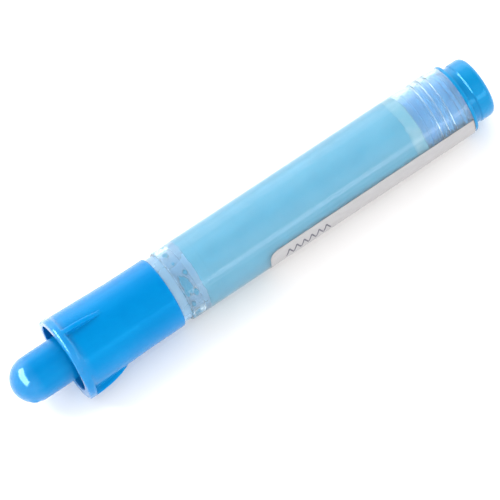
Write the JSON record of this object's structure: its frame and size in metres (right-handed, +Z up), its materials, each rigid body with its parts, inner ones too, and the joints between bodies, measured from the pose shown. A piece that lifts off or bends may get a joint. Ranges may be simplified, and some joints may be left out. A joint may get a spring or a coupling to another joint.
{
  "type": "chalk marking pen",
  "caption": "Capped powder chalk marking pen: translucent barrel, toothed wheel tip, flanged push-on cap with anti-roll fins and a screwed rear plug.",
  "frame": {"origin": "on the pen's long axis, in the middle of the bare stretch of barrel between the cap and the label", "axes": "+X along the pen from its tip towards its rear plug, +Z up through one anti-roll fin as the pen lies at rest"},
  "size_m": [0.1439, 0.024, 0.0232],
  "materials": {
    "cap_plastic": "glossy injection-moulded azure blue plastic",
    "plug_plastic": "glossy moulded azure blue plastic, slightly translucent",
    "clear_plastic": "translucent frosted polypropylene",
    "holder_plastic": "milky translucent plastic",
    "nozzle_plastic": "milky white plastic",
    "chalk": "fine pastel blue chalk powder, matt",
    "label_paper": "pale grey-white paper",
    "wheel_metal": "stamped brass, worn bright on the teeth",
    "steel": "drawn stainless wire",
    "seal_rubber": "soft pale seal",
    "ring_rubber": "moulded sealing ring",
    "pad_foam": "closed-cell foam"
  },
  "bodies": {
    "pen_body": {"barrel": "clear_plastic", "tip_holder": "holder_plastic", "holder_seal": "seal_rubber", "nozzle": "nozzle_plastic", "wheel_axle": "steel", "agitator_guide": "nozzle_plastic", "agitator_spring": "steel", "chalk_powder": "chalk", "label": "label_paper"},
    "cap": {"cap": "cap_plastic", "cap_seal_pad": "pad_foam"},
    "marking_wheel": {"marking_wheel": "wheel_metal"},
    "agitator": {"agitator_rod": "steel"},
    "plug_seal": {"plug_seal_ring": "ring_rubber"},
    "rear_plug": {"rear_plug": "plug_plastic"}
  },
  "joints": [
    {"name": "cap_pull", "type": "slide", "parent": "pen_body", "child": "cap", "axis": [-1, 0, 0], "range_m": [0, 0.046]},
    {"name": "wheel_turn", "type": "hinge", "parent": "pen_body", "child": "marking_wheel", "pos_m": [-0.05425, 0, 0], "axis": [0, 1, 0], "continuous": true},
    {"name": "agitator_jog", "type": "slide", "parent": "pen_body", "child": "agitator", "axis": [1, 0, 0], "range_m": [0, 0.0005], "stiffness_N_per_m": 120, "deforming": ["agitator_spring"]},
    {"name": "plug_lift", "type": "slide", "parent": "pen_body", "child": "plug_seal", "axis": [1, 0, 0], "range_m": [0, 0.0168]},
    {"name": "plug_turn", "type": "hinge", "parent": "plug_seal", "child": "rear_plug", "pos_m": [0.076, 0, 0], "axis": [1, 0, 0], "range_deg": [0, 2880]}
  ],
  "couplings": [
    {"joint": "plug_turn", "follows": "plug_lift", "rad_per_m": 2992}
  ]
}
